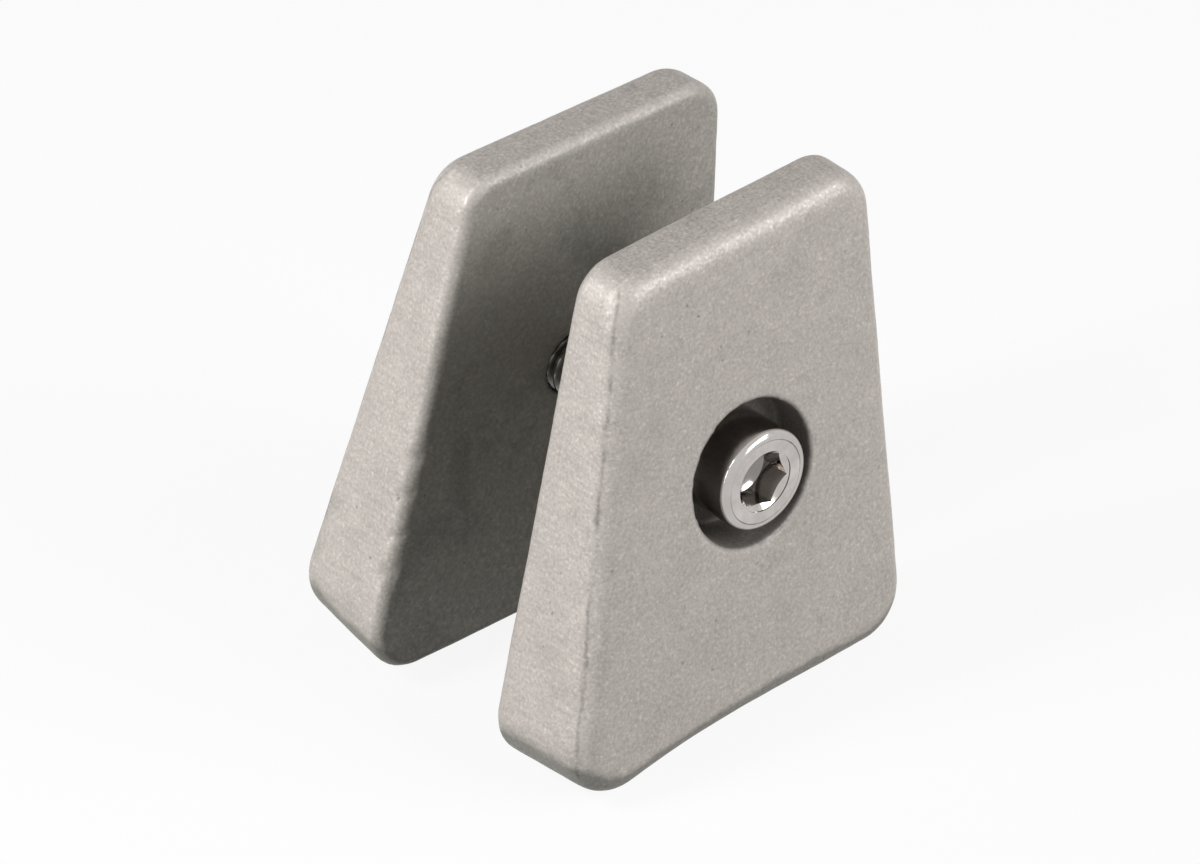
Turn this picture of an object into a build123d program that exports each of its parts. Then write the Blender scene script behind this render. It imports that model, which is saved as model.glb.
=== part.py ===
from build123d import *
import os
from math import cos, radians, sin, tan

# A pair of zinc anode plates of opposite hand, drawn together by one socket head screw and a nut.
# The plates stand on their thick ends, either side of the gap that takes a boat's fin or strut.
# X runs along the plates, Y along the screw and Z up. Lengths are millimetres, angles degrees.
# The pieces are made with the origin on the screw's axis, half way across the gap, and moved at
# the end so that the origin is under the middle of the pair, on the surface that it stands on.

# Outline of a plate on its clamping face, before its corners are rounded
top_rise = 23.8              # top edge above the screw's axis
bottom_drop = 25.3           # bottom edge below the screw's axis
raked_side_reach = 12.3      # screw's axis to the raked side, measured along the top edge
rake_angle = 15.1            # the raked side spreads outward, going down
straight_side_reach = 18.2   # screw's axis to the straight side, measured along the top edge
straight_side_lean = 1.8     # the straight side draws in, going down
top_corner_radius = 4.2
bottom_corner_radius = 5.3
side_draft = 1.0             # the sides draw in, going outward, so the casting leaves its mould

# Thickness over the screw's axis, which grows from the top edge to the bottom edge
top_thickness = 6.05
bottom_thickness = 12.5
outer_face_turn = 0.4        # the outer face leans too, so the raked side is the thicker one
outer_edge_radius = 2.4
inner_edge_chamfer = 0.8

# The bottom face slopes up, going outward, and leaves a toe at one end of its outer edge
bottom_slope = 9.5
toe_drop = 2.8               # toe's tip below the rest of the outer bottom edge
toe_flank = 4.0              # straight part of the toe's side, from the rounded corner
toe_blend = 6.0              # each way from the crease, the length of the curve into the slope

# Gap and screw
gap = 15.1                   # fin or strut between the plates, where the screw is done up
rear_plate_turn = 2.5        # the rear plate sits turned a little on the screw
screw_radius = 3.0
screw_length = 30.0          # under the head
screw_end_chamfer = 0.6
head_radius = 5.0
head_height = 6.0
head_edge_chamfer = 0.6
socket_across_flats = 5.0
socket_depth = 3.0
socket_point_angle = 59.0    # half angle of the drilled point under the hexagon
socket_mouth_chamfer = 0.35

# Nut on the end of the screw
nut_across_flats = 10.0
nut_height = 5.0
nut_chamfer_angle = 30.0
nut_face_radius = 4.7        # flat round face left by the chamfer
thread_play = 0.05           # between the screw and the nut's bore

# Stepped hole through each plate
hole_play = 0.45             # between the screw and the hole, all round
recess_radius = 7.0          # room for the head or the nut and a wrench
recess_depth = 4.25          # along the screw's axis, from the outer face
recess_mouth_chamfer = 0.6

right_angle = 90.0
hexagon_half_turn = 30.0     # between a hexagon's flat and its corner
plate_height = top_rise + bottom_drop
outer_slope = (bottom_thickness - top_thickness) / plate_height
outward = Vector(tan(radians(outer_face_turn)), -1, outer_slope)
axis_thickness = top_thickness + outer_slope * top_rise
seat_offset = gap / 2 + axis_thickness - recess_depth
hole_radius = screw_radius + hole_play
cut_margin = 5.0             # how far a cutting shape stands clear of what it cuts
far_reach = 2 * (plate_height + straight_side_reach)    # well past any side of a plate
straight_turn = 1e-6         # radians; a corner that turns by less is left straight


def corner_setback(radius, turn):
    """Distance from a corner to where its arc starts, for sides that turn by this angle."""
    return radius * tan(radians(turn / 2))


def rounded_loop(corners, depth):
    """A closed wire through corners of (x, z, setback), each with an arc tangent to both sides."""
    count = len(corners)
    points = [Vector(x, -depth, z) for x, z, setback in corners]
    edges = []
    starts = []
    ends = []
    for i, corner in enumerate(points):
        arriving = (corner - points[i - 1]).normalized()
        leaving = (points[(i + 1) % count] - corner).normalized()
        setback = corners[i][2]
        turn = radians(arriving.get_angle(leaving))
        start = corner - arriving * setback
        end = corner + leaving * setback
        if turn < straight_turn:
            edges.append(Edge.make_line(start, end))
        else:
            radius = setback / tan(turn / 2)
            inward = (leaving - arriving).normalized()
            middle = corner + inward * (radius / cos(turn / 2) - radius)
            edges.append(Edge.make_three_point_arc(start, middle, end))
        starts.append(start)
        ends.append(end)
    loop = []
    for i, edge in enumerate(edges):
        loop += [edge, Edge.make_line(ends[i], starts[(i + 1) % count])]
    return Wire(loop)


def underside_section(depth, toe_on_raked_side):
    """What is cut away under the plate, at a distance from its clamping face."""
    if toe_on_raked_side:
        side = -1
        corner_reach = raked_side_reach + plate_height * tan(radians(rake_angle))
        toe_corner = corner_setback(bottom_corner_radius, right_angle + rake_angle)
    else:
        side = 1
        corner_reach = straight_side_reach - plate_height * tan(radians(straight_side_lean))
        toe_corner = corner_setback(bottom_corner_radius, right_angle - straight_side_lean)
    toe_length = toe_corner + toe_flank + toe_blend
    crease_reach = corner_reach - toe_length
    bottom = depth * tan(radians(bottom_slope)) - bottom_drop
    toe_slope = toe_drop / toe_length * depth / bottom_thickness
    toe_end = bottom - toe_slope * (far_reach - crease_reach)
    return rounded_loop(
        [
            (side * crease_reach, bottom, toe_blend),
            (side * far_reach, toe_end, cut_margin),
            (side * far_reach, -far_reach, cut_margin),
            (-side * far_reach, -far_reach, cut_margin),
            (-side * far_reach, bottom, cut_margin),
        ],
        depth,
    )


def cut_flat(body, point, facing):
    """Cuts away what lies beyond a flat face through this point, which faces this way."""
    return split(body, bisect_by=Plane(origin=point, z_dir=facing), keep=Keep.BOTTOM)


def blank(toe_on_raked_side):
    """The plate with its flat sides, its sloping bottom face and its toe, before any edge is rounded."""
    rake = radians(rake_angle)
    lean = radians(straight_side_lean)
    draft = tan(radians(side_draft))
    full_depth = bottom_thickness + cut_margin
    body = Box(2 * far_reach, full_depth, 2 * far_reach, align=(Align.CENTER, Align.MAX, Align.CENTER))
    body = cut_flat(body, (0, 0, top_rise), (0, -draft, 1))
    body = cut_flat(body, (-raked_side_reach, 0, top_rise), (-cos(rake), -draft, sin(rake)))
    body = cut_flat(body, (straight_side_reach, 0, top_rise), (cos(lean), -draft, -sin(lean)))
    body = cut_flat(body, (0, -axis_thickness, 0), outward)
    sections = [underside_section(depth, toe_on_raked_side) for depth in (0, full_depth)]
    return body - Solid.make_loft(sections, ruled=True)


def through_edges(body):
    """The edges that run from the clamping face to the outer face."""

    def runs_through(edge):
        along = edge.tangent_at(0.5)
        return abs(along.Y) > max(abs(along.X), abs(along.Z))

    return body.edges().filter_by(runs_through).sort_by(Axis.Z)


def outer_face(body):
    """The sloping face that the screw's head or the nut is let into."""
    return body.faces().sort_by(lambda face: face.center().dot(outward))[-1]


def plate(toe_on_raked_side):
    """One casting with its clamping face on the plane y = 0 and its body toward -Y."""
    body = blank(toe_on_raked_side)
    low_edges = through_edges(body)[:-2].sort_by(Axis.X)
    body = fillet([low_edges[0], low_edges[-1]], bottom_corner_radius)
    body = fillet(through_edges(body)[-2:], top_corner_radius)
    body = fillet(outer_face(body).edges(), outer_edge_radius)
    body = chamfer(body.faces().sort_by(Axis.Y)[-1].edges(), inner_edge_chamfer)
    seat = axis_thickness - recess_depth
    body -= along_screw(hole_radius, -seat - cut_margin, cut_margin)
    body -= along_screw(recess_radius, -bottom_thickness - cut_margin, -seat)
    mouth = Cone(
        recess_radius - recess_mouth_chamfer,
        recess_radius + recess_mouth_chamfer,
        2 * recess_mouth_chamfer,
    )
    return body - Plane(origin=(0, -axis_thickness, 0), z_dir=outward) * mouth


def along_screw(radius, y_from, y_to):
    """A round bar about the screw's axis, between two stations along it."""
    return Plane.XZ * Pos(0, 0, -y_to) * Cylinder(
        radius, y_to - y_from, align=(Align.CENTER, Align.CENTER, Align.MIN)
    )


def head_socket():
    """The hexagonal hole in the head with its drilled point and chamfered mouth, from z = 0 down."""
    hexagon = extrude(RegularPolygon(socket_across_flats / 2, 6, major_radius=False), -socket_depth)
    point_depth = socket_across_flats / 2 / tan(radians(socket_point_angle))
    point = Pos(0, 0, -socket_depth) * Cone(
        0, socket_across_flats / 2, point_depth, align=(Align.CENTER, Align.CENTER, Align.MAX)
    )
    corner_radius = socket_across_flats / 2 / cos(radians(hexagon_half_turn))
    mouth = Cone(
        corner_radius - socket_mouth_chamfer,
        corner_radius + socket_mouth_chamfer,
        2 * socket_mouth_chamfer,
    )
    return hexagon + point + mouth


def screw():
    """Socket head screw with the underside of its head on z = 0 and its shank toward -Z."""
    head = Cylinder(head_radius, head_height, align=(Align.CENTER, Align.CENTER, Align.MIN))
    head = chamfer(head.edges().sort_by(Axis.Z)[-1], head_edge_chamfer)
    head -= Pos(0, 0, head_height) * head_socket()
    shank = Cylinder(screw_radius, screw_length, align=(Align.CENTER, Align.CENTER, Align.MAX))
    shank = chamfer(shank.edges().sort_by(Axis.Z)[0], screw_end_chamfer)
    return head + shank


def nut():
    """Hexagon nut on z = 0, chamfered on the face that shows."""
    body = extrude(RegularPolygon(nut_across_flats / 2, 6, major_radius=False), nut_height)
    cone_height = nut_height + nut_face_radius * tan(radians(nut_chamfer_angle))
    body &= Cone(
        cone_height / tan(radians(nut_chamfer_angle)),
        0,
        cone_height,
        align=(Align.CENTER, Align.CENTER, Align.MIN),
    )
    bore = Cylinder(screw_radius + thread_play, 2 * (nut_height + cut_margin))
    return body - bore


# Screw and nut lie along Y, the head toward -Y
to_front = Location((0, -seat_offset, 0), (right_angle, 0, 0))
to_rear = Location((0, seat_offset, 0), (-right_angle, 0, 0))
front_plate = Pos(0, -gap / 2, 0) * plate(toe_on_raked_side=True)
rear_casting = mirror(plate(toe_on_raked_side=False), Plane.XZ)
rear_plate = Rotation(0, rear_plate_turn, 0) * Pos(0, gap / 2, 0) * rear_casting
pieces = {
    "anode_plate_front": front_plate,
    "anode_plate_rear": rear_plate,
    "socket_head_screw": to_front * screw(),
    "hex_nut": to_rear * nut(),
}

box = Compound(pieces.values()).bounding_box()
foot = Vector((box.min.X + box.max.X) / 2, (box.min.Y + box.max.Y) / 2, box.min.Z)

os.makedirs("parts", exist_ok=True)
for name, piece in pieces.items():
    piece = Pos(-foot) * piece
    export_step(piece, f"parts/{name}.step")
    print(name, round(piece.volume, 1), piece.is_valid, len(piece.solids()))
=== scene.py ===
import math

import bmesh
import bpy
import numpy as np
from mathutils import Matrix, Vector, noise


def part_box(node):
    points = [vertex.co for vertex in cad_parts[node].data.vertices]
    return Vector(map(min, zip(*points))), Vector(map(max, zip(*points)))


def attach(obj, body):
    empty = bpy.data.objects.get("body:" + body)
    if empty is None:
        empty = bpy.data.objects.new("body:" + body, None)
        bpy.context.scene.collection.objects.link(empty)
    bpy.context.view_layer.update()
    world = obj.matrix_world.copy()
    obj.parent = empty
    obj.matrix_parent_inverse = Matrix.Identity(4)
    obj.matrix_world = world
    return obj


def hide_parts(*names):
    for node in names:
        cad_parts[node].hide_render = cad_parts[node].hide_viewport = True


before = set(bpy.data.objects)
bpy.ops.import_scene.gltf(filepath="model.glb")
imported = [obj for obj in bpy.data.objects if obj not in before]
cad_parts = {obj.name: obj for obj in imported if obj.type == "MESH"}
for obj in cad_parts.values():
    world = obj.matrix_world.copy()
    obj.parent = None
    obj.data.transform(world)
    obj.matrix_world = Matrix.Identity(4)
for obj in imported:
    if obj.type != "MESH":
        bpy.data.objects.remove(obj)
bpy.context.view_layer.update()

# Front anode plate
# One zinc casting, poured in a two-part mould and blasted: a satin grey skin of fine grain, with soft
# lumps on its arrises, the mould's seam along the raked one and a thin lip round the screw's hole.
# It is set out, in metres, from the axis of the one screw that draws the two plates together.
MM = 0.001
screw_low, screw_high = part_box("socket_head_screw")
axis_x = (screw_low[0] + screw_high[0]) / 2
axis_z = (screw_low[2] + screw_high[2]) / 2
front_clamping_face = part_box("anode_plate_front")[1][1]
rear_clamping_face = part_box("anode_plate_rear")[0][1]
gap_middle = (front_clamping_face + rear_clamping_face) / 2
half_gap = (rear_clamping_face - front_clamping_face) / 2

# Directions that pick out a plate's flat faces, and how nearly a face has to look that way
toward_front = (0.0, -1.0, 0.0)
toward_rear = (0.0, 1.0, 0.0)
toward_top = (0.0, 0.0, 1.0)
toward_raked_side = (-1.0, 0.0, 0.27)
same_way = 0.95

arris_radius = 2.4 * MM
recess_radius = 7.0 * MM
hole_radius = 3.45 * MM
lip_radius = 3.06 * MM
lip_reach = 4.2 * MM
lip_length = 1.0 * MM
lip_blend = 0.5 * MM

# Relief of the skin's mesh
skin_grid = 0.26 * MM
easing_rounds = 12
lump_size = 7.0 * MM
lump_height = 0.06 * MM
peel_size = 1.3 * MM
peel_height = 0.018 * MM
outer_lump_size = 2.6 * MM
outer_lump_height = 0.1 * MM
arris_gain = 3.0
front_seed = 3
outer_lump_seed = 31
seed_steps = (13.7, 5.3, 9.1)

# Shades painted on the skin's points, from how flat it lies or how far it faces up
# Of these, the roundings get a painted highlight and the top and under faces get painted shade
rounding_span = (0.95, 0.75)
topside_span = (0.93, 0.99)
underside_span = (0.05, -0.35)
# How far from the screw's axis the painted shade on the faces turned down begins
underside_shade_clearance = 1.3 * recess_radius

# Pattern of the skin's colour; a pattern's values lie mostly within its span
noise_span = (0.3, 0.7)
sparkle_span = (0.62, 0.74)
cloud_size = 5.0 * MM
grain_size = 0.3 * MM
grain_contrast = 0.13
streak_size = 0.42 * MM
streak_stretch = (1.0, 0.16, 1.0)
streak_contrast = 0.06
blotch_size = 0.6 * MM
pit_spacing = 1.1 * MM
pit_rim = (0.08, 0.2)
pit_rarity = 0.93

# The mould's seams, each at a share of the way round its arris
seam_share = 0.4
flash_share = 0.12
seam_half_width = 0.14 * MM
seam_shade_width = 1.1 * MM
seam_sway = 0.9 * MM
seam_sway_size = 6.0 * MM
seam_raggedness = 0.55 * MM
seam_ragged_size = 0.8 * MM
seam_break_size = 2.5 * MM
seam_faintest = 0.15
line_span = (0.2 * seam_half_width, 2.0 * seam_half_width)
shade_rise = (-seam_half_width, seam_half_width)
shade_fall = (0.2 * seam_shade_width, seam_shade_width)
arris_span = (0.5 * arris_radius, 0.7 * arris_radius)
break_span = (0.4, 0.62)

# How far each mark on the skin lightens or darkens it, and raises or sinks it
mark_levels = {
    # sparkle: the grain's brightest specks are lightened, as painted glints
    "sparkle": 0.2,
    # pit: the sunk pits are also darkened, as painted shade in their hollows
    "pit": -0.35,
    # seam: the sunk seam line is also darkened, as painted shade in its groove
    "seam": -0.34,
    "flash": 0.16,
    "seam_shade": -0.03,
    "blotch": 0.5,
}
mark_heights = {
    "grain": 0.6,
    "streak": 0.25,
    "pit": -0.8,
    "seam": -0.9,
    "seam_shade": -0.6,
    "flash": 0.5,
}
relief_strength = 0.55
relief_height = 0.05 * MM

ZINC_DARK = (0.405, 0.371, 0.343, 1.0)
ZINC_LIGHT = (0.46, 0.421, 0.389, 1.0)
# The roundings' colour is lighter than the flat faces': a painted highlight along the arrises
ZINC_ROUNDING_HIGHLIGHT = (0.475, 0.437, 0.405, 1.0)
# The faces turned down are darker: painted shade under the plates
ZINC_UNDERSIDE_SHADE = (0.19, 0.186, 0.162, 1.0)
# The clamping faces toward the gap are darker: painted shade between the plates
ZINC_CLAMPING_FACE_SHADE = (0.33, 0.313, 0.281, 1.0)
# The top faces are drawn darker than the faces below them: painted shade on the tops
ZINC_TOPSIDE_SHADE = (0.39, 0.357, 0.33, 1.0)
# Inside the screw's recess the zinc is darker: painted shade in the recess
ZINC_RECESS_SHADE = (0.15, 0.137, 0.125, 1.0)
zinc_metallic = 0.2
zinc_roughness = (0.7, 0.54)
rubbed_gloss = 0.12
# The painted shade on the clamping faces fades out over this distance from the gap's middle
gap_shade_fade = (half_gap + 0.1 * MM, half_gap + 0.9 * MM)
recess_fade = (recess_radius + 0.05 * MM, recess_radius + 0.45 * MM)
# Painted shade on the faces turned down, made uneven by the clouds
underside_shade_unevenness = 0.3
underside_shade_span = (0.15, 0.6)
underside_shade_share = 0.85


def link(tree, source, target):
    """Joins an output socket to an input socket."""
    tree.links.new(source, target)


def math_node(tree, operation, first, second=None, clamp=False):
    """A Math node whose inputs are sockets or plain numbers; returns its output."""
    node = tree.nodes.new("ShaderNodeMath")
    node.operation = operation
    node.use_clamp = clamp
    for index, value in enumerate((first, second)):
        if value is None:
            continue
        if isinstance(value, (int, float)):
            node.inputs[index].default_value = value
        else:
            link(tree, value, node.inputs[index])
    return node.outputs[0]


def add_share(tree, total, amount, share):
    """A total plus a share of an amount, which may be negative."""
    return math_node(tree, "ADD", total, math_node(tree, "MULTIPLY", amount, share))


def remap(tree, value, from_low, from_high, to_low, to_high):
    """Maps a value from one range to another and holds it at the ends."""
    node = tree.nodes.new("ShaderNodeMapRange")
    link(tree, value, node.inputs["Value"])
    node.inputs["From Min"].default_value = from_low
    node.inputs["From Max"].default_value = from_high
    node.inputs["To Min"].default_value = to_low
    node.inputs["To Max"].default_value = to_high
    return node.outputs["Result"]


def noise_node(tree, place, size, detail=2.0, roughness=0.5):
    """Noise whose features are about this size, in metres."""
    node = tree.nodes.new("ShaderNodeTexNoise")
    link(tree, place, node.inputs["Vector"])
    node.inputs["Scale"].default_value = 1.0 / size
    node.inputs["Detail"].default_value = detail
    node.inputs["Roughness"].default_value = roughness
    return node.outputs["Fac"]


def about_zero(tree, pattern):
    """A pattern of values about 0.5, moved to lie about zero."""
    return math_node(tree, "SUBTRACT", pattern, 0.5)


def mix_colour(tree, factor, first, second, blend="MIX"):
    """Mixes two colours, each a socket or four numbers; returns the colour output."""
    node = tree.nodes.new("ShaderNodeMix")
    node.data_type = "RGBA"
    node.blend_type = blend
    for name, value in (("Factor", factor), ("A", first), ("B", second)):
        socket = [s for s in node.inputs if s.name == name and s.enabled][0]
        if isinstance(value, (int, float, tuple)):
            socket.default_value = value
        else:
            link(tree, value, socket)
    return [s for s in node.outputs if s.enabled][0]


def separate(tree, place):
    """The X, Y and Z outputs of a place."""
    node = tree.nodes.new("ShaderNodeSeparateXYZ")
    link(tree, place, node.inputs["Vector"])
    return node.outputs


def painted(tree, name):
    """A shade that cast_skin painted on the mesh's points."""
    node = tree.nodes.new("ShaderNodeAttribute")
    node.attribute_name = name
    return node.outputs["Fac"]


def distance_from_axis(tree, parts):
    """How far a place is from the screw's axis, given its X, Y and Z."""
    beside = math_node(tree, "SUBTRACT", parts["X"], axis_x)
    above = math_node(tree, "SUBTRACT", parts["Z"], axis_z)
    beside_squared = math_node(tree, "MULTIPLY", beside, beside)
    above_squared = math_node(tree, "MULTIPLY", above, above)
    return math_node(tree, "SQRT", math_node(tree, "ADD", beside_squared, above_squared))


def distance_along(tree, place, direction, start):
    """How far a place is along a direction, from a start given along the same direction."""
    node = tree.nodes.new("ShaderNodeVectorMath")
    node.operation = "DOT_PRODUCT"
    link(tree, place, node.inputs[0])
    node.inputs[1].default_value = direction
    return math_node(tree, "SUBTRACT", node.outputs["Value"], start)


def new_material(name):
    """A new material, with its node tree, its shader and the places on the object's surface."""
    material = bpy.data.materials.new(name)
    material.use_nodes = True
    tree = material.node_tree
    place = tree.nodes.new("ShaderNodeTexCoord").outputs["Object"]
    return material, tree, tree.nodes["Principled BSDF"], place


def raise_relief(tree, shader, height, strength, distance):
    """Bump on a shader, from a height of about 0 to 1 that stands for this distance."""
    bump = tree.nodes.new("ShaderNodeBump")
    bump.inputs["Strength"].default_value = strength
    bump.inputs["Distance"].default_value = distance
    link(tree, height, bump.inputs["Height"])
    link(tree, bump.outputs["Normal"], shader.inputs["Normal"])


def flat_face(solid, toward):
    """A solid's largest flat face that looks about this way: its normal, and its distance from zero."""
    toward = Vector(toward).normalized()
    near = [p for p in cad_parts[solid].data.polygons if p.normal.dot(toward) > same_way]
    face = max(near, key=lambda p: p.area)
    return face.normal.copy(), face.normal.dot(face.center)


def across_arris(tree, place, solid, first, second, share):
    """
    A wandering line along a rounded arris, this share of the way round from its first face to its
    second: how far a place is aside of it, and 1 on the arris or 0 away from it.
    """
    side, side_at = flat_face(solid, first)
    outer, outer_at = flat_face(solid, second)
    along = side.cross(outer).normalized()
    inset = Vector((side_at - arris_radius, outer_at - arris_radius, 0.0))
    centre = Matrix((side, outer, along)).inverted() @ inset
    span = side.angle(outer)
    toward = side * math.sin((1 - share) * span) + outer * math.sin(share * span)
    toward.normalize()
    across = along.cross(toward)
    sway = about_zero(tree, noise_node(tree, place, seam_sway_size, detail=1.0))
    ragged = about_zero(tree, noise_node(tree, place, seam_ragged_size, roughness=0.7))
    aside = distance_along(tree, place, across, across.dot(centre))
    aside = add_share(tree, aside, sway, seam_sway)
    aside = add_share(tree, aside, ragged, seam_raggedness)
    height = distance_along(tree, place, toward, toward.dot(centre))
    return aside, remap(tree, height, *arris_span, 0.0, 1.0)


def seam_line(tree, place, aside, on_arris):
    """The thin line of a mould's seam, fainter here and there."""
    off_line = math_node(tree, "ABSOLUTE", aside)
    line = remap(tree, off_line, *line_span, 1.0, 0.0)
    broken = remap(tree, noise_node(tree, place, seam_break_size), *break_span, seam_faintest, 1.0)
    return math_node(tree, "MULTIPLY", math_node(tree, "MULTIPLY", line, on_arris), broken)


def seam_shade(tree, aside, on_arris):
    """The shade beside a seam, where the metal next to it is sunk a little."""
    rise = remap(tree, aside, *shade_rise, 0.0, 1.0)
    fall = remap(tree, aside, *shade_fall, 1.0, 0.0)
    return math_node(tree, "MULTIPLY", math_node(tree, "MULTIPLY", rise, fall), on_arris)


def small_pits(tree, place):
    """1 in the few cells of a pattern that hold a small round pit, and 0 elsewhere."""
    cells = tree.nodes.new("ShaderNodeTexVoronoi")
    cells.inputs["Scale"].default_value = 1.0 / pit_spacing
    link(tree, place, cells.inputs["Vector"])
    draw = tree.nodes.new("ShaderNodeSeparateColor")
    link(tree, cells.outputs["Color"], draw.inputs["Color"])
    hollow = remap(tree, cells.outputs["Distance"], *pit_rim, 1.0, 0.0)
    chosen = math_node(tree, "GREATER_THAN", draw.outputs["Red"], pit_rarity)
    return math_node(tree, "MULTIPLY", hollow, chosen)


def skin_marks(tree, place, solid, outside):
    """Every mark on a plate's cast skin, by the name it has in mark_levels and mark_heights."""
    grain = noise_node(tree, place, grain_size, roughness=0.6)
    stretched = tree.nodes.new("ShaderNodeMapping")
    link(tree, place, stretched.inputs["Vector"])
    stretched.inputs["Scale"].default_value = streak_stretch
    blotches = about_zero(tree, noise_node(tree, place, blotch_size, detail=3.0, roughness=0.65))
    aside, on_arris = across_arris(tree, place, solid, toward_raked_side, outside, seam_share)
    flash_aside, on_top_arris = across_arris(tree, place, solid, toward_top, outside, flash_share)
    return {
        "grain": grain,
        "sparkle": remap(tree, grain, *sparkle_span, 0.0, 1.0),
        "streak": noise_node(tree, stretched.outputs["Vector"], streak_size, detail=1.0),
        "blotch": math_node(tree, "MULTIPLY", blotches, painted(tree, "topside")),
        "pit": small_pits(tree, place),
        "seam": seam_line(tree, place, aside, on_arris),
        "seam_shade": seam_shade(tree, aside, on_arris),
        "flash": seam_line(tree, place, flash_aside, on_top_arris),
    }


def zinc_colour(tree, place):
    """Cloudy grey, with painted highlight on roundings and painted shade on tops, clamping face, recess and
    undersides.
    """
    clouds = noise_node(tree, place, cloud_size, detail=3.0, roughness=0.55)
    colour = mix_colour(tree, remap(tree, clouds, *noise_span, 0.0, 1.0), ZINC_DARK, ZINC_LIGHT)
    # Painted highlight: the roundings are lightened
    colour = mix_colour(tree, painted(tree, "rounding"), colour, ZINC_ROUNDING_HIGHLIGHT)
    # Painted shade on the top faces
    colour = mix_colour(tree, painted(tree, "topside"), colour, ZINC_TOPSIDE_SHADE)
    parts = separate(tree, place)
    from_gap = math_node(tree, "ABSOLUTE", math_node(tree, "SUBTRACT", parts["Y"], gap_middle))
    # Painted shade on the faces toward the gap between the plates
    gap_shade = remap(tree, from_gap, *gap_shade_fade, 1.0, 0.0)
    colour = mix_colour(tree, gap_shade, colour, ZINC_CLAMPING_FACE_SHADE)
    # Painted shade inside the screw's recess, kept off the clamping face
    recess_shade = remap(tree, distance_from_axis(tree, parts), *recess_fade, 1.0, 0.0)
    recess_shade = math_node(tree, "MULTIPLY", recess_shade, math_node(tree, "SUBTRACT", 1.0, gap_shade))
    colour = mix_colour(tree, recess_shade, colour, ZINC_RECESS_SHADE)
    # Painted shade on the faces turned down, uneven with the clouds
    uneven = remap(tree, clouds, *noise_span, -underside_shade_unevenness, underside_shade_unevenness)
    underside_shade = math_node(tree, "ADD", painted(tree, "underside"), uneven)
    return mix_colour(tree, remap(tree, underside_shade, *underside_shade_span, 0.0, underside_shade_share), colour, ZINC_UNDERSIDE_SHADE)


def cast_zinc(name, solid, outside):
    """Satin zinc: fine sparkling grain, faint clouds, streaks and pits, and the mould's two seams."""
    material, tree, shader, place = new_material(name)
    marks = skin_marks(tree, place, solid, outside)
    grain_level = remap(tree, marks["grain"], *noise_span, 1 - grain_contrast, 1 + grain_contrast)
    streak_level = remap(tree, marks["streak"], *noise_span, 1 - streak_contrast, 1 + streak_contrast)
    level = math_node(tree, "MULTIPLY", grain_level, streak_level)
    for mark, share in mark_levels.items():
        level = add_share(tree, level, marks[mark], share)
    grey = tree.nodes.new("ShaderNodeCombineColor")
    for channel in ("Red", "Green", "Blue"):
        link(tree, level, grey.inputs[channel])
    colour = mix_colour(tree, 1.0, zinc_colour(tree, place), grey.outputs["Color"], "MULTIPLY")
    link(tree, colour, shader.inputs["Base Color"])
    shader.inputs["Metallic"].default_value = zinc_metallic
    satin = remap(tree, marks["grain"], *noise_span, *zinc_roughness)
    satin = add_share(tree, satin, painted(tree, "rounding"), -rubbed_gloss)
    link(tree, satin, shader.inputs["Roughness"])
    height = 0.0
    for mark, share in mark_heights.items():
        height = add_share(tree, height, marks[mark], share)
    raise_relief(tree, shader, height, relief_strength, relief_height)
    return material


def refined_copy(solid, name):
    """A copy of a solid's mesh with even small facets, eased so that no step shows."""
    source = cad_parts[solid]
    mesh = source.data.copy()
    mesh.name = name
    mesh.materials.clear()
    piece = bpy.data.objects.new(name, mesh)
    bpy.context.collection.objects.link(piece)
    piece.matrix_world = source.matrix_world.copy()
    remesh = piece.modifiers.new("even_facets", "REMESH")
    remesh.mode = "VOXEL"
    remesh.voxel_size = skin_grid
    ease = piece.modifiers.new("ease", "SMOOTH")
    ease.factor = 0.5
    ease.iterations = easing_rounds
    evaluated = piece.evaluated_get(bpy.context.evaluated_depsgraph_get())
    piece.data = bpy.data.meshes.new_from_object(evaluated)
    piece.modifiers.clear()
    piece.data.name = name
    piece.data.shade_smooth()
    return piece


def mesh_points(mesh):
    """The places and normals of a mesh's points, as two arrays."""
    count = len(mesh.vertices)
    places = np.empty(count * 3)
    normals = np.empty(count * 3)
    mesh.vertices.foreach_get("co", places)
    mesh.vertex_normals.foreach_get("vector", normals)
    return places.reshape(-1, 3), normals.reshape(-1, 3)


def wander(places, size, seed):
    """Smooth noise from about -1 to 1 at each place, with features of this size."""
    shift = Vector([seed * step for step in seed_steps])
    return np.array([noise.noise(Vector(place) / size + shift) for place in places])


def fade(values, start, end):
    """0 where the values reach the start, 1 where they reach the end, held beyond both."""
    return np.clip((values - start) / (end - start), 0.0, 1.0)


def raked_arris(normals):
    """1 on the arris between a plate's raked side and its face toward the front, 0 on both faces."""
    share = np.clip(-normals[:, 1], 0.0, 1.0) * np.clip(-normals[:, 0], 0.0, 1.0)
    return np.clip(arris_gain * share, 0.0, 1.0)


def draw_in_lip(places, from_axis):
    """Narrows the screw's hole beside the clamping face, where the casting has a thin lip."""
    from_lip_end = half_gap + lip_length - np.abs(places[:, 1] - gap_middle)
    near_face = np.clip(from_lip_end / lip_blend, 0.0, 1.0) * (from_axis < lip_reach)
    share = fade(from_axis, lip_reach, hole_radius)
    drawn_in = 1.0 - near_face * share * (hole_radius - lip_radius) / np.maximum(from_axis, lip_radius)
    for index, axis in ((0, axis_x), (2, axis_z)):
        places[:, index] = axis + (places[:, index] - axis) * drawn_in


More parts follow.
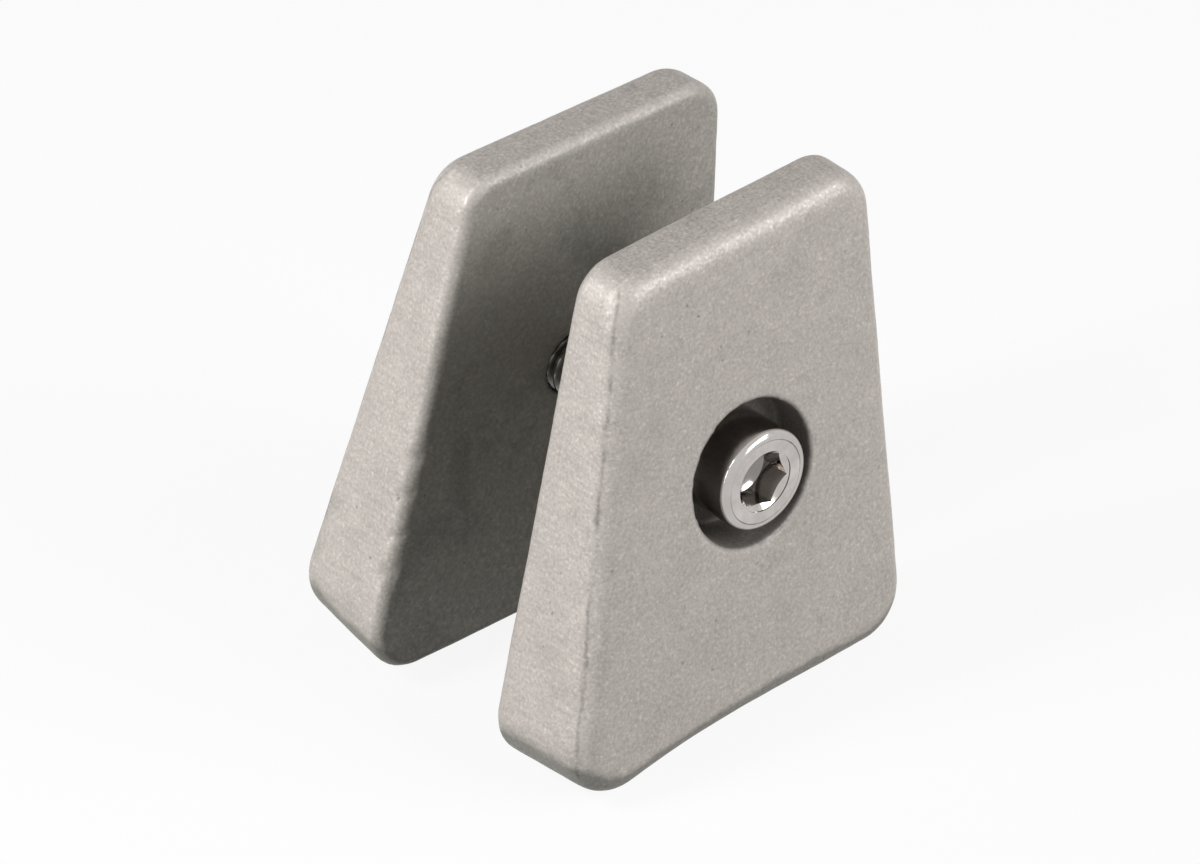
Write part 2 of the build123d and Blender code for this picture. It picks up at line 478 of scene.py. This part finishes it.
def cast_skin(piece, solid, extra, seed):
    """
    Gives a plate its lumps and peel, what extra(places, normals) adds and the hole's lip, all inside
    the solid's box, and paints on its points the shades that its material reads.
    """
    places, normals = mesh_points(piece.data)
    height = lump_height * wander(places, lump_size, seed)
    height += peel_height * wander(places, peel_size, seed + 1)
    height += extra(places, normals)
    places = places + normals * height[:, None]
    from_axis = np.hypot(places[:, 0] - axis_x, places[:, 2] - axis_z)
    draw_in_lip(places, from_axis)
    low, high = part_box(solid)
    places = np.clip(places, np.array(low), np.array(high))
    piece.data.vertices.foreach_set("co", places.ravel())
    flatness = np.max(np.abs(normals), axis=1)
    facing_up = normals[:, 2]
    shades = {
        "rounding": fade(flatness, *rounding_span),
        "topside": fade(facing_up, *topside_span),
        "underside": fade(facing_up, *underside_span) * (from_axis > underside_shade_clearance),
    }
    for shade, values in shades.items():
        layer = piece.data.attributes.new(shade, "FLOAT", "POINT")
        layer.data.foreach_set("value", values.astype(np.float32))
    piece.data.update()


def lumpy_outer_arris(places, normals):
    """Low lumps along the front plate's raked outer arris, either side of the seam."""
    return outer_lump_height * wander(places, outer_lump_size, outer_lump_seed) * raked_arris(normals)


front_plate = refined_copy("anode_plate_front", "front_plate_skin")
cast_skin(front_plate, "anode_plate_front", lumpy_outer_arris, front_seed)
front_plate.data.materials.append(cast_zinc("cast_zinc_front", "anode_plate_front", toward_front))
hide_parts("anode_plate_front")
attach(front_plate, "root")

# Rear anode plate
# The same casting with the opposite hand, its clamping face toward the gap. The arris round that
# face is soft and lumpy, with a few nicks where the riser and the flash were knocked off.
side_rounding = 1.6 * MM
top_rounding = 1.3 * MM
inner_lump_size = 2.2 * MM
inner_lump_height = 0.09 * MM
rear_seed = 11
inner_lump_seed = 41
nick_depth = 0.2 * MM

# Each nick's height above the surface that the plate stands on and its half width, in millimetres
arris_nicks = ((16.5, 0.5), (20.5, 0.65), (24.0, 0.8), (13.0, 0.95))


def lumpy_inner_arris(places, normals):
    """Lumps and nicks along the rear plate's inner arris, on its raked side."""
    height = inner_lump_height * wander(places, inner_lump_size, inner_lump_seed)
    for nick_height, half_width in arris_nicks:
        away = (places[:, 2] - nick_height * MM) / (half_width * MM)
        height -= nick_depth * np.exp(-away ** 2)
    return height * raked_arris(normals)


def round_arris(places, first, second, radius):
    """Draws places beyond an arc back onto it, where two flat faces of the rear plate would meet."""
    first_normal, first_at = flat_face("anode_plate_rear", first)
    second_normal, second_at = flat_face("anode_plate_rear", second)
    first_way = np.array(first_normal)
    second_way = np.array(second_normal)
    up_first = np.maximum(places @ first_way - first_at + radius, 0.0)
    up_second = np.maximum(places @ second_way - second_at + radius, 0.0)
    on_arris = (up_first > 0.0) & (up_second > 0.0)
    reach = np.maximum(np.hypot(up_first, up_second), radius)
    back = np.where(on_arris, 1.0 - radius / reach, 0.0)
    return places - (up_first * back)[:, None] * first_way - (up_second * back)[:, None] * second_way


rear_plate = refined_copy("anode_plate_rear", "rear_plate_skin")
places, normals = mesh_points(rear_plate.data)
places = round_arris(places, toward_front, toward_raked_side, side_rounding)
places = round_arris(places, toward_front, toward_top, top_rounding)
rear_plate.data.vertices.foreach_set("co", places.ravel())
rear_plate.data.update()
cast_skin(rear_plate, "anode_plate_rear", lumpy_inner_arris, rear_seed)
rear_plate.data.materials.append(cast_zinc("cast_zinc_rear", "anode_plate_rear", toward_rear))
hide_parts("anode_plate_rear")
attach(rear_plate, "root")

# Socket head screw
# A polished stainless M6 screw: forged head with a rounded rim and a broached hexagon whose mouth
# is bored a little round, a short plain neck and a rolled thread with a chamfered end.
head_radius = (screw_high[0] - screw_low[0]) / 2
head_height = 6.0 * MM
head_face = screw_low[1]
seat_y = head_face + head_height
shank_end = screw_high[1]

# Round the head; a sink is how far below the head's highest plane a place is
head_sides = 180
seat_bevel = 0.15 * MM
side_ring_sink = 2.4 * MM
rim_radius = 0.7 * MM
rim_steps = 8
rim_start = 0.05 * MM
rim_sink = 0.02 * MM
groove_radius = 4.2 * MM
groove_half_width = 0.05 * MM
groove_sink = 0.13 * MM
face_sink = 0.06 * MM

# The hexagon and its mouth
hexagon_half = 2.5 * MM
hexagon_turn = math.radians(18)
hexagon_depth = 3.0 * MM
mouth_radius = 3.05 * MM
mouth_edge = 0.04 * MM
mouth_edge_sink = 0.08 * MM
mouth_step = 0.14 * MM
mouth_slope = math.tan(math.radians(35))
mouth_corner = 0.05 * MM
point_slope = 1 / math.tan(math.radians(59))
point_share = 0.98

# The thread, whose flats are shares of its pitch
shank_radius = 3.0 * MM
neck_length = 6.0 * MM
end_chamfer = 0.6 * MM
thread_pitch = 1.0 * MM
thread_depth = 0.6134 * MM
crest_flat = 0.125
root_flat = 0.25
run_in_pitches = 1.5
shank_sides = 48
rings_per_pitch = 12

STEEL_DARK = (0.475, 0.447, 0.427, 1.0)
STEEL_LIGHT = (0.58, 0.549, 0.526, 1.0)
# The rim's colour is a little darker than the face's: a painted darker reflection on the rim
STEEL_RIM_SHADE = (0.46, 0.446, 0.427, 1.0)
# The hexagon socket's floor is darker: painted shade at the bottom of the socket
STEEL_SOCKET_SHADE = (0.17, 0.162, 0.152, 1.0)
# The thread's steel is drawn much darker than the head's: painted shade where it crosses the gap
STEEL_THREAD_DARK = (0.2, 0.19, 0.178, 1.0)
STEEL_THREAD_LIGHT = (0.3, 0.285, 0.268, 1.0)
smear_size = 1.6 * MM
smear_span = (0.35, 0.65)
scratch_size = 0.12 * MM
turning_pitch = 0.16 * MM
turning_share = 0.25
steel_relief_strength = 0.25
steel_relief_height = 0.01 * MM
rim_share = 0.6
edge_fade = 0.1 * MM
# Over this depth the painted shade in the socket comes in
socket_shade_fade = 0.4 * MM
socket_shade_shares = (0.08, 0.8)
sharp_angle = math.radians(28)


def stainless_steel(name, dark, light, smooth, dull, is_head=False):
    """Stainless steel with turning marks, its gloss smeared between a smooth and a dull roughness."""
    material, tree, shader, place = new_material(name)
    smears = noise_node(tree, place, smear_size, detail=3.0, roughness=0.6)
    scratches = noise_node(tree, place, scratch_size, roughness=0.6)
    colour = mix_colour(tree, remap(tree, smears, *smear_span, 0.0, 1.0), dark, light)
    parts = separate(tree, place)
    from_axis = distance_from_axis(tree, parts)
    if is_head:
        # Painted darker reflection on the head's rim
        rim = remap(tree, from_axis, groove_radius, groove_radius + edge_fade, 0.0, rim_share)
        colour = mix_colour(tree, rim, colour, STEEL_RIM_SHADE)
        # Painted shade toward the floor of the hexagon socket
        inside = remap(tree, from_axis, mouth_radius - edge_fade, mouth_radius, 1.0, 0.0)
        depth = math_node(tree, "SUBTRACT", parts["Y"], head_face)
        depth = remap(tree, depth, hexagon_depth - socket_shade_fade, hexagon_depth, *socket_shade_shares)
        colour = mix_colour(tree, math_node(tree, "MULTIPLY", inside, depth), colour, STEEL_SOCKET_SHADE)
    rings = math_node(tree, "SINE", math_node(tree, "MULTIPLY", from_axis, math.tau / turning_pitch))
    link(tree, colour, shader.inputs["Base Color"])
    shader.inputs["Metallic"].default_value = 1.0
    link(tree, remap(tree, smears, *noise_span, smooth, dull), shader.inputs["Roughness"])
    marks = add_share(tree, scratches, rings, turning_share)
    raise_relief(tree, shader, marks, steel_relief_strength, steel_relief_height)
    return material


def skin_of_rings(name, rings, tip=None):
    """A mesh from rings of points, each ring joined to the next; the last can be closed to a tip."""
    mesh = bmesh.new()
    rows = [[mesh.verts.new(point) for point in ring] for ring in rings]
    count = len(rings[0])
    for row, following in zip(rows, rows[1:]):
        for i in range(count):
            j = (i + 1) % count
            mesh.faces.new((row[i], row[j], following[j], following[i]))
    if tip is not None:
        tip_point = mesh.verts.new(tip)
        last = rows[-1]
        for i in range(count):
            mesh.faces.new((last[i], last[(i + 1) % count], tip_point))
    bmesh.ops.recalc_face_normals(mesh, faces=mesh.faces)
    data = bpy.data.meshes.new(name)
    mesh.to_mesh(data)
    mesh.free()
    piece = bpy.data.objects.new(name, data)
    bpy.context.collection.objects.link(piece)
    return piece


def on_axis(radius, angle, y):
    """A point at this distance and angle round the screw's axis, at this station along it."""
    return Vector((axis_x + radius * math.cos(angle), y, axis_z + radius * math.sin(angle)))


def hexagon_radius(angle, half, turn=0.0):
    """Distance from the centre of a hexagon, turned by this much, to its side at this angle."""
    sector = math.radians(60)
    return half / math.cos((angle - turn + sector / 2) % sector - sector / 2)


def head_rings():
    """Rings from the underside of the head, round the rim and down the hexagon, and the point below."""
    angles = [math.tau * i / head_sides for i in range(head_sides)]
    profile = [
        (shank_radius, seat_y),
        (head_radius - seat_bevel, seat_y),
        (head_radius, seat_y - seat_bevel),
        (head_radius, head_face + side_ring_sink),
        (head_radius, head_face + rim_radius + rim_start),
    ]
    for step in range(rim_steps + 1):
        turn = math.radians(90) * step / rim_steps
        radius = head_radius - rim_radius * (1 - math.cos(turn))
        y = head_face + rim_radius * (1 - math.sin(turn)) + rim_sink * math.sin(turn)
        profile.append((radius, y))
    mouth_y = head_face + mouth_edge_sink + mouth_step
    profile += [
        (groove_radius + groove_half_width, head_face + rim_sink),
        (groove_radius, head_face + groove_sink),
        (groove_radius - groove_half_width, head_face + face_sink),
        (mouth_radius + mouth_edge, head_face + face_sink),
        (mouth_radius, head_face + mouth_edge_sink),
        (mouth_radius, mouth_y),
    ]
    rings = [[on_axis(radius, angle, y) for angle in angles] for radius, y in profile]
    bottom = head_face + hexagon_depth
    mouth = []
    walls = []
    floor = []
    for angle in angles:
        radius = hexagon_radius(angle, hexagon_half, hexagon_turn)
        y = mouth_y + (mouth_radius - radius) * mouth_slope
        mouth.append(on_axis(radius, angle, y))
        walls.append(on_axis(radius, angle, y + mouth_corner))
        floor.append(on_axis(radius, angle, bottom))
    rings += [mouth, walls, floor]
    rings.append([on_axis(hexagon_half * point_share, angle, bottom) for angle in angles])
    return rings, on_axis(0.0, 0.0, bottom + hexagon_half * point_slope)


def thread_radius(along, turn):
    """Radius of a 60 degree thread's surface, at this distance under the head and this turn."""
    phase = ((along / thread_pitch) - turn) % 1.0
    ramp = abs(phase - 0.5) * 2.0
    depth = min(max((ramp - crest_flat) / (1.0 - crest_flat - root_flat), 0.0), 1.0)
    fade_in = min(max((along - neck_length) / (run_in_pitches * thread_pitch), 0.0), 1.0)
    radius = shank_radius - thread_depth * (1.0 - depth) * fade_in
    to_end = shank_end - (seat_y + along)
    return min(radius, shank_radius - end_chamfer + to_end)


def shank_rings():
    """Rings down the plain neck and the thread, each point at the thread's depth there, and the end."""
    length = shank_end - seat_y
    count = int(round(length * rings_per_pitch / thread_pitch))
    rings = []
    for k in range(count + 1):
        along = length * k / count
        ring = []
        for i in range(shank_sides):
            turn = i / shank_sides
            ring.append(on_axis(thread_radius(along, turn), math.tau * turn, seat_y + along))
        rings.append(ring)
    return rings, on_axis(0.0, 0.0, shank_end)


head_steel = stainless_steel(
    "polished_steel", STEEL_DARK, STEEL_LIGHT, smooth=0.09, dull=0.17, is_head=True
)
screw_head = skin_of_rings("screw_head", *head_rings())
screw_head.data.materials.append(head_steel)
# Darker steel on the thread: painted shade
thread_steel = stainless_steel("thread_steel", STEEL_THREAD_DARK, STEEL_THREAD_LIGHT, smooth=0.3, dull=0.42)
screw_shank = skin_of_rings("screw_shank", *shank_rings())
screw_shank.data.materials.append(thread_steel)
for piece in (screw_head, screw_shank):
    piece.data.shade_smooth()
    piece.data.set_sharp_from_angle(angle=sharp_angle)
    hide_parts("socket_head_screw")
    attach(piece, "root")

# Hexagon nut
# A stainless M6 nut in the rear plate's recess, turned from hexagon bar: its corners are cut back by
# a thirty degree chamfer, which leaves the round face and the curved tops of the flats.
nut_low, nut_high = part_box("hex_nut")
nut_half = 5.0 * MM
nut_face_radius = 4.7 * MM
nut_chamfer = math.tan(math.radians(30))
nut_bore = 3.05 * MM
bore_flare = 0.35 * MM
nut_sides = 144
STEEL_NUT_DARK = (0.40, 0.376, 0.36, 1.0)
STEEL_NUT_LIGHT = (0.50, 0.473, 0.454, 1.0)


def nut_rings():
    """Rings from the bore at the seat, over the flats and the chamfers, and back into the bore."""
    angles = [math.tau * i / nut_sides for i in range(nut_sides)]
    flats = [hexagon_radius(angle, nut_half) for angle in angles]
    chamfers = [max(radius - nut_face_radius, 0.0) * nut_chamfer for radius in flats]
    seat = nut_low[1]
    face = nut_high[1]

    def ring(radius, y):
        return [on_axis(radius, angle, y) for angle in angles]

    return [
        ring(nut_bore, seat + bore_flare),
        ring(nut_bore + bore_flare, seat),
        ring(nut_face_radius, seat),
        [on_axis(radius, angle, seat + cut) for radius, angle, cut in zip(flats, angles, chamfers)],
        [on_axis(radius, angle, face - cut) for radius, angle, cut in zip(flats, angles, chamfers)],
        ring(nut_face_radius, face),
        ring(nut_bore + bore_flare, face),
        ring(nut_bore, face - bore_flare),
        ring(nut_bore, seat + bore_flare),
    ]


nut_steel = stainless_steel("turned_steel", STEEL_NUT_DARK, STEEL_NUT_LIGHT, smooth=0.16, dull=0.26)
nut = skin_of_rings("nut", nut_rings())
nut.data.materials.append(nut_steel)
nut.data.shade_smooth()
nut.data.set_sharp_from_angle(angle=sharp_angle)
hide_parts("hex_nut")
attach(nut, "root")

# Standing surface and light
# A plain white surface that shows no edge, in a dim white room, under four soft lights: a low and a
# high one on the left, a broad one in front, and a faint one high on the right, which draws the bright
# line along the top arrises.
floor_size = 3.0
WHITE = (1.0, 1.0, 1.0, 1.0)
FLOOR_AS_LIGHT_SOURCE = (0.12, 0.12, 0.12, 1.0)
FLOOR_WITH_SHADOW = (0.8, 0.8, 0.8, 1.0)
floor_glow_share = 0.9
room_level = 0.075


def seen_directly(tree):
    """1 for what the eye sees, in polished metal and through glass too, and 0 for light on the part."""
    rays = tree.nodes.new("ShaderNodeLightPath")
    seen = math_node(tree, "ADD", rays.outputs["Is Camera Ray"], rays.outputs["Is Glossy Ray"], clamp=True)
    return math_node(tree, "ADD", seen, rays.outputs["Is Transmission Ray"], clamp=True)


def mix_shader(tree, factor, first, second):
    """Mixes two shaders by a factor; returns the mixed shader."""
    node = tree.nodes.new("ShaderNodeMixShader")
    if isinstance(factor, float):
        node.inputs[0].default_value = factor
    else:
        link(tree, factor, node.inputs[0])
    link(tree, first, node.inputs[1])
    link(tree, second, node.inputs[2])
    return node.outputs[0]


def coloured_shader(tree, kind, colour):
    """A plain shader of this kind and colour."""
    node = tree.nodes.new(kind)
    node.inputs["Color"].default_value = colour
    return node.outputs[0]


def white_surface():
    """White to the eye and to polished metal, dim as a source of light, with a trace of shadow."""
    material = bpy.data.materials.new("white_surface")
    material.use_nodes = True
    tree = material.node_tree
    tree.nodes.clear()
    output = tree.nodes.new("ShaderNodeOutputMaterial")
    plain = coloured_shader(tree, "ShaderNodeBsdfDiffuse", FLOOR_AS_LIGHT_SOURCE)
    shadow = coloured_shader(tree, "ShaderNodeBsdfDiffuse", FLOOR_WITH_SHADOW)
    glow = coloured_shader(tree, "ShaderNodeEmission", WHITE)
    seen = mix_shader(tree, floor_glow_share, shadow, glow)
    link(tree, mix_shader(tree, seen_directly(tree), plain, seen), output.inputs["Surface"])
    return material


def white_room():
    """A world that is white where it is seen directly, and dim as a source of light."""
    world = bpy.data.worlds.new("white_room")
    world.use_nodes = True
    tree = world.node_tree
    background = tree.nodes["Background"]
    background.inputs["Color"].default_value = WHITE
    link(tree, remap(tree, seen_directly(tree), 0.0, 1.0, room_level, 1.0), background.inputs["Strength"])
    return world


def soft_light(name, toward, distance, width, height, level):
    """A soft rectangle of light that shines on the part from this direction at this level."""
    lamp = bpy.data.lights.new(name, "AREA")
    lamp.shape = "RECTANGLE"
    lamp.size = width
    lamp.size_y = height
    lamp.energy = level * math.pi ** 2 * distance ** 2
    holder = bpy.data.objects.new(name, lamp)
    bpy.context.collection.objects.link(holder)
    direction = Vector(toward).normalized()
    holder.location = Vector((0.0, 0.0, axis_z)) + direction * distance
    holder.rotation_euler = direction.to_track_quat("Z", "Y").to_euler()


bpy.ops.mesh.primitive_plane_add(size=floor_size, location=(0.0, 0.0, 0.0))
floor = bpy.context.object
floor.name = "floor"
floor.data.materials.append(white_surface())
bpy.context.scene.world = white_room()

soft_light("left_light", (-0.96, 0.22, 0.15), distance=0.5, width=0.14, height=0.3, level=0.7)
soft_light("high_left_light", (-0.7, 0.27, 0.66), distance=0.32, width=0.11, height=0.11, level=0.57)
soft_light("front_light", (0.35, -0.84, 0.42), distance=0.6, width=0.3, height=0.3, level=0.77)
soft_light("high_right_light", (0.53, -0.57, 0.62), distance=0.6, width=0.2, height=0.07, level=0.13)

# Camera
# The photograph's own view, fitted to the plates' edges: from the left, the front and above, with
# a long lens. The angles are about the screw, the distances along and across the line of sight.
view_azimuth = math.radians(-40.54)
view_elevation = math.radians(34.83)
view_roll = math.radians(-1.72)
view_distance = 909.09 * MM
view_right = -2.65 * MM
view_up = -3.15 * MM
lens_mm = 300.0
sensor_mm = 36.0
sight_limit = 10.0

back = Vector(
    (
        math.sin(view_azimuth) * math.cos(view_elevation),
        -math.cos(view_azimuth) * math.cos(view_elevation),
        math.sin(view_elevation),
    )
)
level_right = Vector((math.cos(view_azimuth), math.sin(view_azimuth), 0.0))
level_up = back.cross(level_right)
right = level_right * math.cos(view_roll) + level_up * math.sin(view_roll)
up = level_up * math.cos(view_roll) - level_right * math.sin(view_roll)
screw_point = Vector((axis_x, gap_middle, axis_z))
spot = screw_point + right * view_right + up * view_up + back * view_distance
camera_data = bpy.data.cameras.new("camera")
camera_data.lens = lens_mm
camera_data.sensor_width = sensor_mm
camera_data.clip_end = sight_limit
camera = bpy.data.objects.new("camera", camera_data)
bpy.context.collection.objects.link(camera)
camera_turn = Matrix((right, up, back)).transposed().to_4x4()
camera.matrix_world = Matrix.Translation(spot) @ camera_turn
bpy.context.scene.camera = camera
bpy.context.scene.view_settings.view_transform = "Standard"
